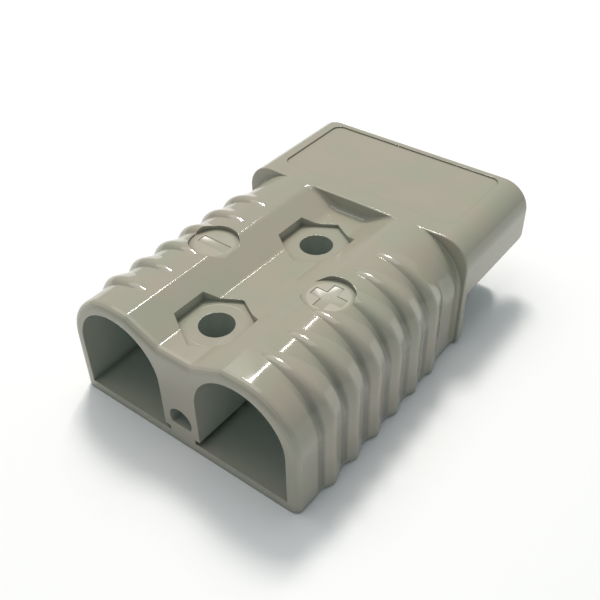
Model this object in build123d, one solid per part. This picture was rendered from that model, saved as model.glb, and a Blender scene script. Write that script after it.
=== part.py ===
# Two-pole genderless power connector half: one moulded housing, two crimp contacts
# with flat wiping blades, and the leaf spring that presses and latches each blade.
# Millimetres. +X is the positive pole's side, +Y points to the mating end, +Z is up.
# Everything is drawn with y = 0 at the cable end and moved at the end, so that the
# origin lies under the middle of the housing.

from build123d import *
import math
import os

os.makedirs("parts", exist_ok=True)

# Overall sizes of the housing
length = 79.5           # cable end to the front of the hood
height = 25.2           # base to the top of the hood
hood_width = 54.2       # flange and hood
engaged = 25.0          # length of the hood in front of the flange, where the mate enters
flange_thick = 1.5
mating_gap = 0.2        # between the two halves where they face each other
slide_gap = 0.3         # between a tongue and the hood that it slides into

# Grip body: two domes with a valley between them
groove_step = 0.65      # from the hood's side in to the grooves between the ribs
tail_step = 1.2         # from the hood's side in to the body's side at the flange
tail_length = 5.0       # straight stretch before the flange
tail_slope = 7.0        # stretch over which the side comes in to it
valley_depth = 3.3
valley_share = 0.345    # half width of its flat floor, as a share of the way to the crest
crest_flat = 3.25       # from the crest to the middle of the dome's arc, at the flange
dome_radius = 11.65     # from the vertical sides into the crests
crisp_radius = 0.9      # corners of the valley at the cable end
soft_share = 0.7        # the same corners at the flange, as a share of the flank's width

# Crescent grip ribs down both sides
rib_count = 6
rib_first_y = 9.1       # crest of the first rib
rib_last = 10.3         # from the crest of the last rib to the flange
rib_height = 0.96
rib_fade = 0.35         # by how much the last rib is lower than the first
rib_rise = 0.48         # slope towards the cable end
rib_fall = 0.33         # slope towards the hood
rib_bury = 1.8          # how far both slopes run down, into the body
rib_crest = 1.8         # radius of the crest
rib_arc = 11.2          # radius of the way that the crest takes over the dome,
rib_stand = 0.38        # its highest point above the body's crests,
rib_turn = 120.0        # the degrees of it from the side up to its buried end,
rib_lean = 1.75         # how far it leans there towards the cable end,
rib_steep = 0.55        # and the share by which its slope on that side is shorter there
rib_steps = 6           # sections that carry it over

# Rounding of the housing's edges
end_radius = 1.4        # round the cable end
base_radius = 0.5       # along the base
root_radius = 1.2       # hollow fillet where the valley meets the hood
root_share = 0.4        # the same fillet down the sides, as a share
rear_radius = 0.35      # rear edge of the hood and the flange
hood_radius = 6.0       # long top edges of the hood
flange_foot = 1.8       # lower corners of the flange
nose_radius = 0.7       # front edge of the hood
skirt_radius = 2.0      # lower front corner of the hood's sides
corner_steps = 4        # flats in a rounding that follows the body's outline
body_steps = 5          # sections that carry the valley from crisp to soft

# Hood, tongue and colour key
hood_side_wall = 3.3
hood_top_wall = 3.5
chamber_back = 3.5      # from the flange's front to the closed end of the mating chamber
end_gap = 0.5           # from the tongue's front to the closed end of the mate's chamber
tongue_lead = 0.8       # bevel round the tongue's front
tongue_floor = 1.5      # under the contact pocket
tongue_front = 1.2      # in front of the contact pocket
key_width = 3.0
key_height = 1.6

# Cable chambers
side_wall = 2.4         # from a chamber out to a groove
web = 8.5               # between the two chambers
wall = 2.2              # floor under and crown over a cable chamber
funnel_length = 2.5     # cone from the chamber into the barrel seat
relief_width = 1.2      # groove along the inner foot of a cable chamber
relief_height = 1.1

# Fixing holes, their hexagon seats, and the small cast details
hole_radius = 3.32
hole_first_y = 11.5
hole_last = 12.1        # from the second hole to the flange
hexagon_flats = 12.7
hexagon_depth = 4.0     # below the crests
hexagon_draft = 4.0     # degrees
disc_radius = 4.95      # round recess for a polarity mark
disc_inset = 1.25       # from the middle of the dome's arc
disc_depth = 0.9
label_side = 6.1        # shallow framed recess on the hood: from the hood's side,
label_rear = 2.7        # from the flange's front,
label_front = 1.7       # and from the hood's front
label_depth = 0.3
label_corner = 2.0
screw_hole_radius = 2.65    # blind hole for a cable clamp, flat at its foot
screw_hole_z = 6.5
screw_hole_foot = 5.0
screw_hole_depth = 6.0

# Contact: a drawn copper barrel flattened to a blade with a hooked nose
barrel_radius = 7.25
barrel_bore = 5.6
barrel_length = 20.0
bore_depth = 18.0
bore_chamfer = 0.6
seat_gap = 0.3          # round the barrel, beside the blade and in front of it
neck_length = 5.5
blade_length = 29.5
blade_width = 15.0
blade_thick = 3.0
blade_edge = 0.4        # rounding of the blade's long edges
hook_share = 0.35       # inside radius of the hook and its straight end, of the pocket's room
hook_corner = 2.0

# Leaf spring
spring_width = 11.0
spring_thick = 1.0
spring_touch = 0.05     # between its crest and the blade
spring_tab_back = 25.0  # from the blade's nose back to the rear tab, in a slit in the floor
spring_tab_depth = 1.6
spring_flat = 5.5       # stretch that lies on the floor
spring_crest = (9.5, 5.7)   # from the blade's nose back to both ends of the crest
spring_end_back = 3.7   # from the blade's nose back to the front end
spring_end_drop = 0.7
spring_bends = (1.1, 14.0, 10.0, 3.0)

# Sizes that follow from the others
over = 1.0              # how far a cut runs past the face that it opens
tiny = 0.05             # tolerance when an edge or a corner is looked up
mid_z = height / 2
stop_y = length - engaged
flange_y = stop_y - flange_thick
hood_half = hood_width / 2
body_half = hood_half - groove_step
tail_half = hood_half - tail_step
dome_z = height - dome_radius
crest_x = tail_half - dome_radius - crest_flat
valley_half = crest_x * valley_share
rib_pitch = (flange_y - rib_first_y - rib_last) / (rib_count - 1)
hood_inner_half = hood_half - hood_side_wall
hood_inner_top = height - hood_top_wall
hood_inner_radius = hood_radius - hood_side_wall
hood_back_y = stop_y + chamber_back
tongue_half = hood_inner_half - slide_gap
tongue_base = hood_top_wall + slide_gap
tongue_top = mid_z - mating_gap / 2
tongue_radius = hood_inner_radius - slide_gap
tongue_end_y = length - chamber_back - end_gap
skirt_z = mid_z + mating_gap / 2
mouth_width = body_half - side_wall - web / 2
pole_x = (web + mouth_width) / 2
nose_y = tongue_end_y - tongue_front - seat_gap
blade_start_y = nose_y - blade_length
neck_start_y = blade_start_y - neck_length
barrel_start_y = neck_start_y - barrel_length
mouth_depth = barrel_start_y - seat_gap - funnel_length
seat_radius = barrel_radius + seat_gap
blade_base = mid_z - blade_thick
pocket_floor = tongue_base + tongue_floor
pocket_half = blade_width / 2 + seat_gap
nose_bend = hook_share * (blade_base - pocket_floor)
hook_drop = nose_bend
hole_pitch = flange_y - hole_first_y - hole_last


def across(y):
    """Plane across the housing at one distance from the cable end."""
    return Plane(origin=(0, y, 0), x_dir=(1, 0, 0), z_dir=(0, -1, 0))


def along(x):
    """Plane along the housing at one distance from its middle: local x is Y, local y is Z."""
    return Plane(origin=(x, 0, 0), x_dir=(0, 1, 0), z_dir=(1, 0, 0))


def block(x0, x1, y0, y1, z0, z1):
    """Plain rectangular block between two corners."""
    return Pos(x0, y0, z0) * Box(x1 - x0, y1 - y0, z1 - z0, align=Align.MIN)


def body_outline(y, side, inset=0.0, flare=0.0):
    """Section of the grip body: flat base, straight sides, two domes and the valley."""
    top = height - inset
    floor = height - valley_depth - inset + flare
    foot = side - inset + flare * root_share
    dome = dome_radius - inset
    dome_x = foot - dome
    flank = crest_x - valley_half
    reach = crest_x - flare * flank / valley_depth
    corner = crisp_radius + (soft_share * flank - crisp_radius) * (y / flange_y) ** 2
    with BuildSketch(across(y)) as outline:
        with BuildLine():
            FilletPolyline(
                (-dome_x, top), (-reach, top), (-valley_half, floor),
                (valley_half, floor), (reach, top), (dome_x, top),
                radius=corner,
            )
            CenterArc((-dome_x, dome_z), dome, 90, 90)
            CenterArc((dome_x, dome_z), dome, 0, 90)
            FilletPolyline((-foot, dome_z), (-foot, 0), (foot, 0), (foot, dome_z), radius=base_radius)
        make_face()
    return outline.sketch


def make_body():
    """Grip body without its ribs. It runs a little way into the hood, level with its top."""
    quarter = [math.pi / 2 * step / corner_steps for step in range(corner_steps + 1)]
    sections = [
        body_outline(end_radius * (1 - math.cos(a)), body_half, inset=end_radius * (1 - math.sin(a)))
        for a in quarter
    ]
    tail_y = flange_y - tail_length
    slope_y = tail_y - tail_slope
    for step in range(1, body_steps + 1):
        sections.append(body_outline(end_radius + (slope_y - end_radius) * step / body_steps, body_half))
    sections.append(body_outline(tail_y, tail_half))
    root_y = flange_y - root_radius
    for a in quarter:
        sections.append(body_outline(root_y + root_radius * math.sin(a), tail_half,
                                     flare=root_radius * (1 - math.cos(a))))
    sections.append(body_outline(flange_y + rear_radius, tail_half, flare=root_radius))
    return loft(sections, ruled=True)


def rib_section(lean):
    """Section of a rib, crest at the origin; its slope to the cable end steepens as it leans."""
    rise_y = rib_bury / rib_rise * (1 - rib_steep * lean)
    with BuildSketch() as section:
        Polygon((0, 0), (-rib_bury, -rise_y), (-rib_bury, rib_bury / rib_fall), align=None)
        fillet(section.vertices().sort_by(Axis.X)[-1], rib_crest)
    return Pos(-section.sketch.bounding_box().max.X, 0, 0) * section.sketch


def make_rib(crest_y, reach):
    """One rib on the +X side: a ridge that stands out from the body's side by its reach, runs
    down to the base, and leans over the dome on an arc of its own, so that it ends as a crescent."""
    sections = []
    for step in range(rib_steps + 1):
        angle = rib_turn * step / rib_steps
        lean = math.sin(math.radians(angle)) ** 2
        place = Pos(0, -rib_lean * lean, 0) * Rot(0, -angle, 0) * Pos(rib_arc, 0, 0)
        sections.append(place * rib_section(lean))
    centre_z = height + rib_stand - rib_arc
    leg = extrude(sections[0], -centre_z)
    foot = leg.faces().sort_by(Axis.Z)[0].edges().sort_by(Axis.X)[1:]
    return Pos(body_half + reach - rib_arc, crest_y, centre_z) * (loft(sections) + fillet(foot, base_radius))


def make_hood():
    """Flange, and the upper half shell that stands out beyond it over the mating chamber."""
    with BuildSketch(across(flange_y)) as outline:
        with BuildLine():
            FilletPolyline(
                (hood_half, 0), (hood_half, height), (-hood_half, height), (-hood_half, 0),
                radius=(flange_foot, hood_radius, hood_radius, flange_foot), close=True,
            )
        make_face()
    shell = extrude(outline.sketch, flange_y - length)
    rear = shell.faces().sort_by(Axis.Y)[0].edges().sort_by(Axis.Z)
    shell = fillet(rear[1:], rear_radius)
    shell -= block(-hood_half - over, hood_half + over, stop_y, length + over, -over, skirt_z)
    front = shell.faces().sort_by(Axis.Y)[-1]
    lower = front.edges().sort_by(Axis.Z)[0]
    shell = fillet([e for e in front.edges() if e.center().Z > lower.center().Z + tiny], nose_radius)
    corner = block(-hood_half - over, hood_half + over, length - skirt_radius, length + over,
                   skirt_z - over, skirt_z + skirt_radius)
    corner -= Pos(0, length - skirt_radius, skirt_z + skirt_radius) * Rot(0, 90, 0) * Cylinder(
        skirt_radius, hood_width + 4 * over)
    shell -= corner
    with BuildSketch(across(hood_back_y)) as chamber:
        with BuildLine():
            FilletPolyline(
                (hood_inner_half, mid_z - over), (hood_inner_half, hood_inner_top),
                (-hood_inner_half, hood_inner_top), (-hood_inner_half, mid_z - over),
                radius=hood_inner_radius,
            )
            Line((-hood_inner_half, mid_z - over), (hood_inner_half, mid_z - over))
        make_face()
    shell -= extrude(chamber.sketch, hood_back_y - length - over)
    key = block(-key_width / 2, key_width / 2, hood_back_y, length - nose_radius,
                hood_inner_top - key_height, hood_inner_top + over)
    return shell + key


def make_tongue():
    """Lower half tongue that carries both contacts, with the groove for the mate's key."""
    with BuildSketch(across(flange_y)) as outline:
        with BuildLine():
            FilletPolyline(
                (tongue_half, tongue_top), (tongue_half, tongue_base),
                (-tongue_half, tongue_base), (-tongue_half, tongue_top),
                radius=tongue_radius,
            )
            Line((-tongue_half, tongue_top), (tongue_half, tongue_top))
        make_face()
    tongue = extrude(outline.sketch, flange_y - tongue_end_y)
    tongue = chamfer(tongue.faces().sort_by(Axis.Y)[-1].edges(), tongue_lead)
    root = block(-tongue_half + tongue_radius, tongue_half - tongue_radius, flange_y, hood_back_y,
                 tongue_base, skirt_z + over)
    groove = block(-key_width / 2 - slide_gap, key_width / 2 + slide_gap, stop_y, tongue_end_y + over,
                   tongue_base - over, tongue_base + key_height + slide_gap)
    return tongue + root - groove


def pole_cavity(side):
    """Cable chamber, funnel, barrel seat, and the slot and pocket for blade and spring."""
    x = side * pole_x
    half = mouth_width / 2
    arch_z = height - wall - half
    with BuildSketch(across(-over)) as arch:
        with BuildLine():
            Polyline((x - half, arch_z), (x - half, wall), (x + half, wall), (x + half, arch_z))
            CenterArc((x, arch_z), half, 0, 180)
        make_face()
    cavity = extrude(arch.sketch, -over - mouth_depth)
    foot_x = x - side * half
    cavity += block(min(foot_x, foot_x - side * relief_width), max(foot_x, foot_x - side * relief_width),
                    -over, mouth_depth, wall, wall + relief_height)
    funnel = Pos(x, mouth_depth + funnel_length / 2, mid_z) * Rot(-90, 0, 0) * Cone(
        half, seat_radius, funnel_length)
    seat_length = blade_start_y - mouth_depth
    seat = Pos(x, mouth_depth + seat_length / 2, mid_z) * Rot(90, 0, 0) * Cylinder(seat_radius, seat_length)
    slot = block(x - pocket_half, x + pocket_half, neck_start_y, nose_y + seat_gap,
                 pocket_floor, mid_z + seat_gap)
    slit_half = spring_width / 2 + seat_gap
    slit_y = nose_y - spring_tab_back
    slit = block(x - slit_half, x + slit_half, slit_y - spring_thick / 2 - spring_touch,
                 slit_y + spring_bends[0] + spring_touch,
                 pocket_floor - spring_tab_depth - spring_touch, pocket_floor + over)
    return cavity + funnel + seat + slot + slit


def fixing_hole(y):
    """Through hole with the hexagon seat that holds a nut or a bolt head."""
    hole = Pos(0, y, mid_z) * Cylinder(hole_radius, height + over)
    seat = Pos(0, y, height - hexagon_depth) * Rot(0, 0, 30) * RegularPolygon(
        hexagon_flats / 2, 6, major_radius=False)
    return hole + extrude(seat, hexagon_depth + over, taper=-hexagon_draft)


def make_housing():
    half = make_body() + make_hood() + make_tongue()
    half &= block(0, hood_width, -over, length + over, -over, height + over)
    for rib in range(rib_count):
        lower = rib_fade * (rib / (rib_count - 1)) ** 2
        half += make_rib(rib_first_y + rib * rib_pitch, rib_height - lower)
    housing = half + mirror(half, Plane.YZ)
    disc_x = body_half - dome_radius - disc_inset
    disc_y = hole_first_y + hole_pitch / 2
    for side in (-1, 1):
        housing -= pole_cavity(side)
        housing -= Pos(side * disc_x, disc_y, height) * Cylinder(disc_radius, 2 * disc_depth)
    for hole in range(2):
        housing -= fixing_hole(hole_first_y + hole * hole_pitch)
    label_length = engaged - label_rear - label_front
    label = RectangleRounded(hood_width - 2 * label_side, label_length, label_corner)
    housing -= Pos(0, stop_y + label_rear + label_length / 2, height - label_depth) * extrude(label, over)
    screw_hole = Pos(0, screw_hole_depth / 2, screw_hole_z) * Rot(90, 0, 0) * Cylinder(
        screw_hole_radius, screw_hole_depth)
    screw_hole -= block(-screw_hole_radius, screw_hole_radius, -over, screw_hole_depth + over,
                        screw_hole_z - screw_hole_radius - over, screw_hole_foot)
    return housing - screw_hole


def make_contact(side):
    """Crimp barrel, pressed neck, and the blade with its hooked nose."""
    x = side * pole_x
    barrel = Pos(x, barrel_start_y + barrel_length / 2, mid_z) * Rot(90, 0, 0) * Cylinder(
        barrel_radius, barrel_length)
    bore = Pos(x, barrel_start_y + bore_depth / 2, mid_z) * Rot(90, 0, 0) * Cylinder(barrel_bore, bore_depth)
    mouth = Pos(x, barrel_start_y + bore_chamfer / 2, mid_z) * Rot(-90, 0, 0) * Cone(
        barrel_bore + bore_chamfer, barrel_bore, bore_chamfer)
    round_end = across(neck_start_y) * Pos(x, mid_z) * RectangleRounded(
        2 * barrel_radius, 2 * barrel_radius, barrel_radius - tiny)
    flat_end = across(blade_start_y) * Pos(x, mid_z - blade_thick / 2) * RectangleRounded(
        blade_width, blade_thick, blade_edge)
    neck = loft([round_end, flat_end])
    with BuildSketch(along(x)) as profile:
        Polygon(
            (blade_start_y, mid_z), (nose_y, mid_z),
            (nose_y, blade_base - nose_bend - hook_drop),
            (nose_y - blade_thick, blade_base - nose_bend - hook_drop),
            (nose_y - blade_thick, blade_base), (blade_start_y, blade_base),
            align=None,
        )
        corners = profile.vertices()
        fillet(corners.filter_by(lambda v: v.Y > nose_y - tiny and v.Z > mid_z - tiny),
               nose_bend + blade_thick)
        fillet(profile.vertices().filter_by(
            lambda v: abs(v.Y - nose_y + blade_thick) < tiny and abs(v.Z - blade_base) < tiny), nose_bend)
    blade = extrude(profile.sketch, blade_width / 2, both=True)
    tip = blade.edges().filter_by(Axis.Y).group_by(Axis.Z)[0]
    blade = fillet(tip, hook_corner)
    return barrel + neck + blade - bore - mouth


def make_spring(side):
    """Bowed leaf: its rear tab drops into the slit, its front end stands behind the hook."""
    tab_y = nose_y - spring_tab_back
    floor_z = pocket_floor + spring_thick / 2
    crest_z = blade_base - spring_touch - spring_thick / 2
    with BuildLine(along(side * pole_x)) as route:
        FilletPolyline(
            (tab_y, pocket_floor - spring_tab_depth), (tab_y, floor_z), (tab_y + spring_flat, floor_z),
            (nose_y - spring_crest[0], crest_z), (nose_y - spring_crest[1], crest_z),
            (nose_y - spring_end_back, crest_z - spring_end_drop),
            radius=spring_bends,
        )
    start = Plane(origin=route.line @ 0, x_dir=(1, 0, 0), z_dir=(0, 0, 1))
    return sweep(start * Rectangle(spring_width, spring_thick), path=route.line)


pieces = {"housing": make_housing()}
for pole, side in (("positive", 1), ("negative", -1)):
    pieces[pole + "_contact"] = make_contact(side)
    pieces[pole + "_spring"] = make_spring(side)

for name, piece in pieces.items():
    export_step(Pos(0, -length / 2, 0) * piece, "parts/" + name + ".step")
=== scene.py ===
# The dressed model of a two-pole, genderless power connector half: its moulded housing,
# the polarity marks in it, the two plated contacts and their leaf springs.
# Metres. +X is the positive pole's side, +Y points to the mating end, +Z is up.

import math

import bpy
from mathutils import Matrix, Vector
from mathutils.kdtree import KDTree


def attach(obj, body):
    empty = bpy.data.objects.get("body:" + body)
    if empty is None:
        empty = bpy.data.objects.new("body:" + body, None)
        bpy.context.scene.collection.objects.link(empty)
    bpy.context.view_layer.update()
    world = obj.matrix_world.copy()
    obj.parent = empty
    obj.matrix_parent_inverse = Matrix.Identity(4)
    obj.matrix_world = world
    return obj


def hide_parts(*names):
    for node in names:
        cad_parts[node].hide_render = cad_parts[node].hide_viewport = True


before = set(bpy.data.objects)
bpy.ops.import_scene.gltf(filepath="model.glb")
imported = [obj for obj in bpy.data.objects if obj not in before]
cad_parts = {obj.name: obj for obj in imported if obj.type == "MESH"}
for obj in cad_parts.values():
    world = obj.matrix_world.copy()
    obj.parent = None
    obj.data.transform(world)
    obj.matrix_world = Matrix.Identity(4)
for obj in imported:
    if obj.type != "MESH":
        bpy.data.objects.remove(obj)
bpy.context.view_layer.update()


# Camera
# The photographer stands behind the connector's cable end, to the right of it, and
# looks down on it. The place, the turn and the lens were fitted to the photograph.
bpy.ops.object.camera_add(
    location=(0.07749, -0.10286, 0.11559),
    rotation=(math.radians(50.08), math.radians(0.99), math.radians(37.39)),
)
camera = bpy.context.object
camera.data.lens = 48.56
camera.data.sensor_width = 36
camera.data.clip_start = 0.005
bpy.context.scene.camera = camera
bpy.context.scene.view_settings.view_transform = "Standard"


# Housing
# One injection moulding in glossy light grey polycarbonate. It is a copy of the packed
# solid with its polarity marks sunk in; the finish softens its sharp edges.
class Value:
    """A node socket that takes part in arithmetic, and adds Math nodes as it does."""

    def __init__(self, tree, socket):
        self.tree = tree
        self.socket = socket

    def maths(self, operation, first, second=0.0):
        return self.tree.node("ShaderNodeMath", {"operation": operation}, {0: first, 1: second})[0]

    def __add__(self, other):
        return self.maths("ADD", self, other)

    __radd__ = __add__

    def __mul__(self, other):
        return self.maths("MULTIPLY", self, other)

    __rmul__ = __mul__

    def __sub__(self, other):
        return self.maths("SUBTRACT", self, other)

    def __rsub__(self, other):
        return self.maths("SUBTRACT", other, self)

    def __truediv__(self, other):
        return self.maths("DIVIDE", self, other)

    def __abs__(self):
        return self.maths("ABSOLUTE", self)

    def fraction(self):
        return self.maths("FRACT", self)

    def root(self):
        return self.maths("SQRT", self)


class Finish:
    """A material, built from one Principled shader and the nodes that feed it."""

    def __init__(self, name, **shader):
        self.material = bpy.data.materials.new(name)
        self.material.use_nodes = True
        self.nodes = self.material.node_tree.nodes
        self.links = self.material.node_tree.links
        self.shader = self.nodes["Principled BSDF"]
        for socket, amount in shader.items():
            self.shader.inputs[socket.replace("_", " ")].default_value = amount
        self.place = self.node("ShaderNodeTexCoord")["Object"]

    def node(self, kind, settings=None, inputs=None):
        made = self.nodes.new(kind)
        for name, setting in (settings or {}).items():
            setattr(made, name, setting)
        for name, given in (inputs or {}).items():
            if isinstance(given, Value):
                self.links.new(given.socket, made.inputs[name])
            else:
                made.inputs[name].default_value = given
        return Outputs(self, made)

    def noise(self, scale, detail=2.0, stretch=(1, 1, 1)):
        """Soft noise over the piece; scale is in waves per metre."""
        placed = self.node("ShaderNodeMapping", None, {"Vector": self.place, "Scale": stretch})["Vector"]
        return self.node("ShaderNodeTexNoise", None, {
            "Vector": placed, "Scale": scale, "Detail": detail,
        })["Fac"]

    def axes(self):
        """The three coordinates of a point on the piece."""
        split = self.node("ShaderNodeSeparateXYZ", None, {"Vector": self.place})
        return split["X"], split["Y"], split["Z"]

    def spread(self, value, low, high, to_low=0.0, to_high=1.0):
        """Maps a stretch of a value on to another, and holds it there."""
        return self.node("ShaderNodeMapRange", None, {
            "Value": value, "From Min": low, "From Max": high, "To Min": to_low, "To Max": to_high,
        })["Result"]

    def open_air(self, reach):
        """1 where nothing stands within reach of the surface, 0 where it is shut in."""
        return self.node("ShaderNodeAmbientOcclusion", {"samples": 6}, {"Distance": reach})["AO"]

    def mix(self, share, first, second):
        """Blends two colours."""
        return self.node("ShaderNodeMix", {"data_type": "RGBA"}, {0: share, 6: first, 7: second})[2]

    def feed(self, **values):
        for socket, value in values.items():
            self.links.new(value.socket, self.shader.inputs[socket.replace("_", " ")])

    def bump(self, height, strength, distance, **base):
        normal = self.node("ShaderNodeBump", None, {
            "Height": height, "Strength": strength, "Distance": distance, **base,
        })["Normal"]
        self.feed(Normal=normal)


class Outputs:
    """The outputs of one node, by name or number."""

    def __init__(self, tree, made):
        self.tree = tree
        self.made = made

    def __getitem__(self, name):
        return Value(self.tree, self.made.outputs[name])


def deselect():
    bpy.ops.object.select_all(action="DESELECT")


def take_copy(node, name):
    """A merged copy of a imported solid, selected and active."""
    deselect()
    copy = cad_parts[node].copy()
    copy.data = copy.data.copy()
    copy.name = name
    copy.parent = None
    bpy.context.collection.objects.link(copy)
    copy.select_set(True)
    bpy.context.view_layer.objects.active = copy
    bpy.ops.object.mode_set(mode="EDIT")
    bpy.ops.mesh.select_all(action="SELECT")
    bpy.ops.mesh.remove_doubles(threshold=1e-6)
    bpy.ops.object.mode_set(mode="OBJECT")
    bpy.ops.mesh.customdata_custom_splitnormals_clear()
    return copy


def press_mark(place, size):
    """Sinks one straight bar of a polarity mark into the floor of its disc."""
    deselect()
    bpy.ops.mesh.primitive_cube_add(size=1, location=place, scale=size)
    bar = bpy.context.object
    bpy.ops.object.transform_apply(location=True, rotation=True, scale=True)
    rounding = bar.modifiers.new("corners", "BEVEL")
    rounding.width = bar_rounding
    rounding.segments = 2
    bpy.ops.object.modifier_apply(modifier=rounding.name)
    deselect()
    housing.select_set(True)
    bpy.context.view_layer.objects.active = housing
    cut = housing.modifiers.new("mark", "BOOLEAN")
    cut.operation = "DIFFERENCE"
    cut.object = bar
    bpy.ops.object.modifier_apply(modifier=cut.name)
    bpy.data.objects.remove(bar)


def lend_normals(same_place=2e-6, same_way=0.75):
    """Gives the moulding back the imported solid's own normals, which merging has lost.
    Each corner takes the normal of the solid's corner at its place that best fits its face."""
    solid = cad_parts["housing"].data
    lenders = KDTree(len(solid.loops))
    for corner in solid.loops:
        lenders.insert(solid.vertices[corner.vertex_index].co, corner.index)
    lenders.balance()
    mesh = housing.data
    normals = [corner.vector.copy() for corner in mesh.corner_normals]
    for face in mesh.polygons:
        for corner in face.loop_indices:
            place = mesh.vertices[mesh.loops[corner].vertex_index].co
            near = [
                solid.corner_normals[index].vector
                for _, index, _ in lenders.find_range(place, same_place)
            ]
            best = max(near, key=face.normal.dot, default=face.normal)
            if near and best.dot(face.normal) > same_way:
                normals[corner] = best.copy()
    mesh.normals_split_custom_set(normals)


def rib_foot_shade_mask(finish, x, y, z):
    """A mask for painted shade: 1 along the foot of each grip rib, where the light hardly reaches, and 0
    elsewhere.
    A rib stands straight up the side, then takes an arc over the dome and leans back there."""
    out = abs(x) - rib_arc_x
    up = finish.spread(z - rib_arc_z, 0.0, 0.02, 0.0, 0.02)
    reach = (out * out + up * up).root()
    lean = (up * up) / (reach * reach)
    ribs = (y - rib_first_y + lean * rib_lean) / rib_pitch
    from_foot = abs(ribs.fraction() - (lean * 0.25 + foot_phase))
    foot = finish.spread(from_foot, 0.08, 0.17, 1.0, 0.0) * finish.spread(lean, 0.3, 0.95, 1.0, 0.0)
    along = finish.spread(ribs, *before_first) * finish.spread(ribs, *after_last, 1.0, 0.0)
    outside = finish.spread(out, 0.0, 0.002) * finish.spread(reach, 0.009, 0.0096)
    return foot * along * outside * finish.spread(z, 0.0008, 0.0018)


def grey_plastic():
    finish = Finish("grey_polycarbonate", Roughness=0.1, IOR=1.56)
    x, y, z = finish.axes()
    parting = finish.spread(abs(z - parting_z), 0.0, parting_width, 1.0, 0.0)
    parting = parting * finish.spread(abs(x), parting_x, parting_x + 0.0004)
    tint = finish.spread(finish.noise(60, detail=3.0), 0.35, 0.65)
    warm = finish.spread(finish.noise(95, detail=2.0), 0.38, 0.62)
    greenish = finish.mix(warm, (0.338, 0.334, 0.254, 1), (0.366, 0.329, 0.254, 1))
    pinkish = finish.mix(warm, (0.352, 0.332, 0.262, 1), (0.376, 0.334, 0.270, 1))
    # Painted shade: the colour darkens where other surfaces stand within 2.5 mm, in corners and creases.
    corner = finish.spread(finish.open_air(0.0025), 0.25, 0.85, 1.0, 0.0)
    # Painted shade along the feet of the grip ribs, kept off the parting line.
    painted_rib_shade = rib_foot_shade_mask(finish, x, y, z) * (1 - parting * 0.8)
    # shade joins the painted corner shade and the painted rib-foot shade. Below, it darkens the colour
    # towards a dark grey-green.
    shade = 1 - (1 - corner) * (1 - painted_rib_shade * 0.68)
    # Painted light: deep inside cavities and holes the colour turns lighter and cooler, standing in for
    # the light that falls there.
    painted_cavity_light = finish.spread(finish.open_air(0.03), 0.2, 0.42, 1.0, 0.0)
    tone_and_cavity_light = finish.mix(painted_cavity_light, finish.mix(tint, greenish, pinkish), (0.40, 0.455, 0.40, 1))
    finish.feed(Base_Color=finish.mix(shade, tone_and_cavity_light, (0.135, 0.145, 0.108, 1)))
    smear = finish.spread(finish.noise(240, detail=4.0), 0.35, 0.7, 0.08, 0.14)
    across, along = abs(x) - disc_x, y - disc_y
    off_centre = (across * across + along * along).root()
    matt = finish.spread(off_centre, matt_radius - 0.0006, matt_radius, 1.0, 0.0)
    matt = matt * finish.spread(z, disc_floor - 0.001, disc_floor - 0.0005)
    finish.feed(Roughness=smear + matt * 0.22)
    rings = 0.0
    for centre in hole_places:
        distance = ((x * x) + (y - centre) * (y - centre)).root()
        rings = rings + finish.spread(abs(distance - ring_radius), 0.0, ring_width, 1.0, 0.0)
    peel = finish.noise(700, detail=1.0)
    soft_edges = finish.node("ShaderNodeBevel", {"samples": 6}, {"Radius": edge_radius})["Normal"]
    finish.bump(peel * 0.03 + parting * 0.35 + rings * 0.3, 0.6, 0.0001, Normal=soft_edges)
    return finish.material


disc_x, disc_y, disc_floor, matt_radius = 0.01355, -0.01345, 0.0243, 0.0044
bar_length, bar_width, bar_height = 0.0068, 0.0021, 0.0005
bar_rounding, mark_depth = 0.00006, 0.00012
hole_places = (-0.02825, 0.00115)
ring_radius, ring_width = 0.0056, 0.00025
rib_first_y, rib_pitch, rib_lean = -0.03065, 0.00672, 0.00175
rib_arc_x, rib_arc_z = 0.01621, 0.01438
foot_phase, before_first, after_last = 0.59, (-0.65, -0.6), (4.85, 4.95)
parting_x, parting_z, parting_width = 0.0252, 0.0122, 0.00014
edge_radius = 0.0002
housing = take_copy("housing", "housing_moulding")
bar_z = disc_floor - mark_depth + bar_height / 2
press_mark((disc_x, disc_y, bar_z), (bar_length, bar_width, bar_height))
press_mark((disc_x, disc_y, bar_z), (bar_width, bar_length, bar_height))
press_mark((-disc_x, disc_y, bar_z), (bar_length, bar_width, bar_height))
bpy.ops.object.shade_smooth_by_angle(angle=math.radians(28))
lend_normals()
housing.data.materials.clear()
housing.data.materials.append(grey_plastic())
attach(housing, "root")
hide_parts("housing")


# Contacts
# Drawn copper tube, flattened to a blade at its front, and silver-plated all over.
def silver_plate():
    finish = Finish("silver_plated_copper", Metallic=1.0, Roughness=0.28)
    tarnish = finish.spread(finish.noise(90, detail=3.0), 0.4, 0.75)
    colour = finish.mix(tarnish, (0.84, 0.82, 0.78, 1), (0.74, 0.69, 0.60, 1))
    finish.feed(Base_Color=colour)
    draw_lines = finish.noise(900, detail=1.0, stretch=(1, 0.02, 1))
    finish.feed(Roughness=finish.spread(draw_lines, 0.3, 0.7, 0.27, 0.31))
    return finish.material


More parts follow.
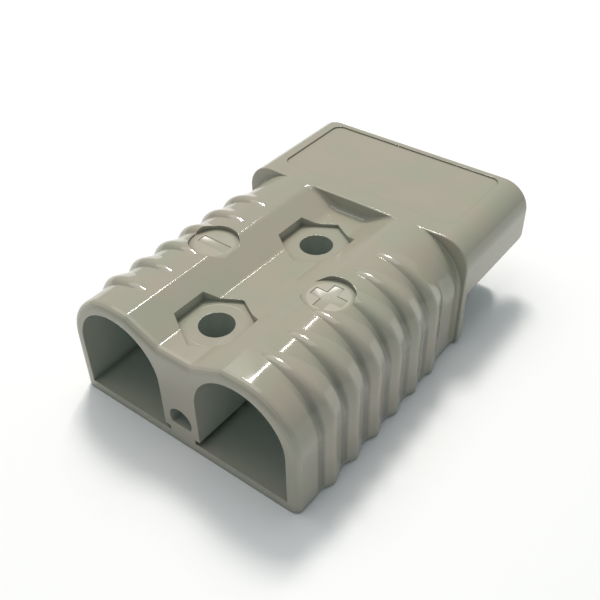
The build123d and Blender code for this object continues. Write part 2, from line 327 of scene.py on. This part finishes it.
plate = silver_plate()
for pole in ("positive", "negative"):
    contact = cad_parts[pole + "_contact"]
    contact.data.materials.clear()
    contact.data.materials.append(plate)


# Springs
# Stainless strip, rolled, cut and bowed, with its rolling lines along its length.
def rolled_steel():
    finish = Finish("rolled_stainless", Metallic=1.0, Roughness=0.3, Base_Color=(0.6, 0.6, 0.61, 1))
    rolling = finish.noise(900, detail=1.0, stretch=(1, 0.03, 0.03))
    finish.feed(Roughness=finish.spread(rolling, 0.3, 0.7, 0.28, 0.33))
    return finish.material


strip = rolled_steel()
for pole in ("positive", "negative"):
    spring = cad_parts[pole + "_spring"]
    spring.data.materials.clear()
    spring.data.materials.append(strip)


# Floor and lights
# A white studio table with a large soft light over it. A small key light and a narrow
# window, both beyond the mating end on the negative side, draw the highlights.
def white_table():
    finish = Finish("white_table", Roughness=0.6, Base_Color=(0.87, 0.865, 0.86, 1))
    return finish.material


bpy.ops.mesh.primitive_plane_add(size=6, location=(0, 0, 0))
table = bpy.context.object
table.name = "table"
table.data.materials.append(white_table())


def soft_light(name, place, aim, size, power):
    bpy.ops.object.light_add(type="AREA", location=place)
    lamp = bpy.context.object
    lamp.name = name
    lamp.data.shape = "RECTANGLE"
    lamp.data.size, lamp.data.size_y = size
    lamp.data.energy = power
    lamp.data.color = (1.0, 0.975, 0.93)
    lamp.rotation_euler = (Vector(aim) - Vector(place)).to_track_quat("-Z", "Y").to_euler()


soft_light("overhead", (-0.25, 0.05, 0.85), (0, 0, 0), (0.8, 0.8), 3.3)
soft_light("key", (-0.26, 0.31, 0.76), (0, 0, 0.01), (0.18, 0.18), 3.8)
soft_light("window", (-0.387, 0.684, 1.02), (0, 0, 0.02), (0.04, 0.24), 1.0)

world = bpy.data.worlds.new("studio") if not bpy.data.worlds else bpy.data.worlds[0]
bpy.context.scene.world = world
world.use_nodes = True
world.node_tree.nodes["Background"].inputs["Color"].default_value = (0.84, 0.94, 1.0, 1)
world.node_tree.nodes["Background"].inputs["Strength"].default_value = 0.40

bpy.context.view_layer.update()
